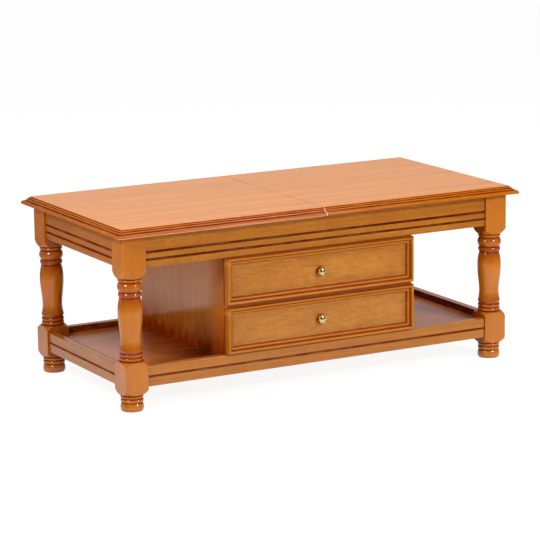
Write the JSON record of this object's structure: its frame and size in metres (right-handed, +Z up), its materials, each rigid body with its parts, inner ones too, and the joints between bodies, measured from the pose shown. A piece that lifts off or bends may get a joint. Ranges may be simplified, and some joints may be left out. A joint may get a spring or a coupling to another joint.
{
  "type": "storage coffee table",
  "caption": "Rectangular stained-wood coffee table with turned legs, a top of sliding leaves over a storage well, drawers with brass knobs and an open lower shelf.",
  "frame": {"origin": "on the floor, under the middle of the table top", "axes": "+X along the table to the right seen from the front, +Y from the drawer fronts to the back, +Z up"},
  "size_m": [1.11, 0.55, 0.44],
  "materials": {
    "stained_wood": "honey-brown stain under gloss lacquer",
    "top_veneer": "stained veneer, gloss lacquer",
    "shelf_veneer": "stained veneer, satin lacquer",
    "panel_veneer": "stained veneer, satin lacquer",
    "drawer_box_wood": "clear sealed",
    "drawer_plywood": "clear sealed",
    "beech_runner": "waxed",
    "brass": "polished and lacquered",
    "steel_screw": "zinc plated"
  },
  "bodies": {
    "frame": {"back_apron": "stained_wood", "back_guide_rail": "beech_runner", "back_lower_rail": "stained_wood", "cabinet_back": "panel_veneer", "cabinet_left_side": "panel_veneer", "cabinet_right_side": "panel_veneer", "cabinet_screws": "steel_screw", "drawer_runner_screws": "steel_screw", "front_apron": "stained_wood", "front_guide_rail": "beech_runner", "front_lower_rail": "stained_wood", "guide_rail_screws": "steel_screw", "left_apron": "stained_wood", "left_lower_rail": "stained_wood", "leg_back_left": "stained_wood", "leg_back_right": "stained_wood", "leg_front_left": "stained_wood", "leg_front_right": "stained_wood", "lower_drawer_runners": "beech_runner", "lower_shelf": "shelf_veneer", "right_apron": "stained_wood", "right_lower_rail": "stained_wood", "shelf_battens": "beech_runner", "upper_drawer_runners": "beech_runner", "well_floor": "panel_veneer"},
    "left_leaf": {"left_leaf_back_edge": "stained_wood", "left_leaf_end_edge": "stained_wood", "left_leaf_front_edge": "stained_wood", "left_leaf_panel": "top_veneer", "left_leaf_runners": "beech_runner", "left_leaf_screws": "steel_screw"},
    "right_leaf": {"right_leaf_back_edge": "stained_wood", "right_leaf_end_edge": "stained_wood", "right_leaf_front_edge": "stained_wood", "right_leaf_panel": "top_veneer", "right_leaf_runners": "beech_runner", "right_leaf_screws": "steel_screw"},
    "upper_drawer": {"upper_drawer_back": "drawer_box_wood", "upper_drawer_bottom": "drawer_plywood", "upper_drawer_front": "stained_wood", "upper_drawer_front_screws": "steel_screw", "upper_drawer_inner_front": "drawer_box_wood", "upper_drawer_knob": "brass", "upper_drawer_knob_screw": "steel_screw", "upper_drawer_left_side": "drawer_box_wood", "upper_drawer_moulding": "stained_wood", "upper_drawer_right_side": "drawer_box_wood"},
    "lower_drawer": {"lower_drawer_back": "drawer_box_wood", "lower_drawer_bottom": "drawer_plywood", "lower_drawer_front": "stained_wood", "lower_drawer_front_screws": "steel_screw", "lower_drawer_inner_front": "drawer_box_wood", "lower_drawer_knob": "brass", "lower_drawer_knob_screw": "steel_screw", "lower_drawer_left_side": "drawer_box_wood", "lower_drawer_moulding": "stained_wood", "lower_drawer_right_side": "drawer_box_wood"}
  },
  "joints": [
    {"name": "left_leaf_slide", "type": "slide", "parent": "frame", "child": "left_leaf", "axis": [-1, 0, 0], "range_m": [0, 0.24]},
    {"name": "right_leaf_slide", "type": "slide", "parent": "frame", "child": "right_leaf", "axis": [1, 0, 0], "range_m": [0, 0.24]},
    {"name": "upper_drawer_slide", "type": "slide", "parent": "frame", "child": "upper_drawer", "axis": [0, -1, 0], "range_m": [0, 0.3]},
    {"name": "lower_drawer_slide", "type": "slide", "parent": "frame", "child": "lower_drawer", "axis": [0, -1, 0], "range_m": [0, 0.3]}
  ]
}
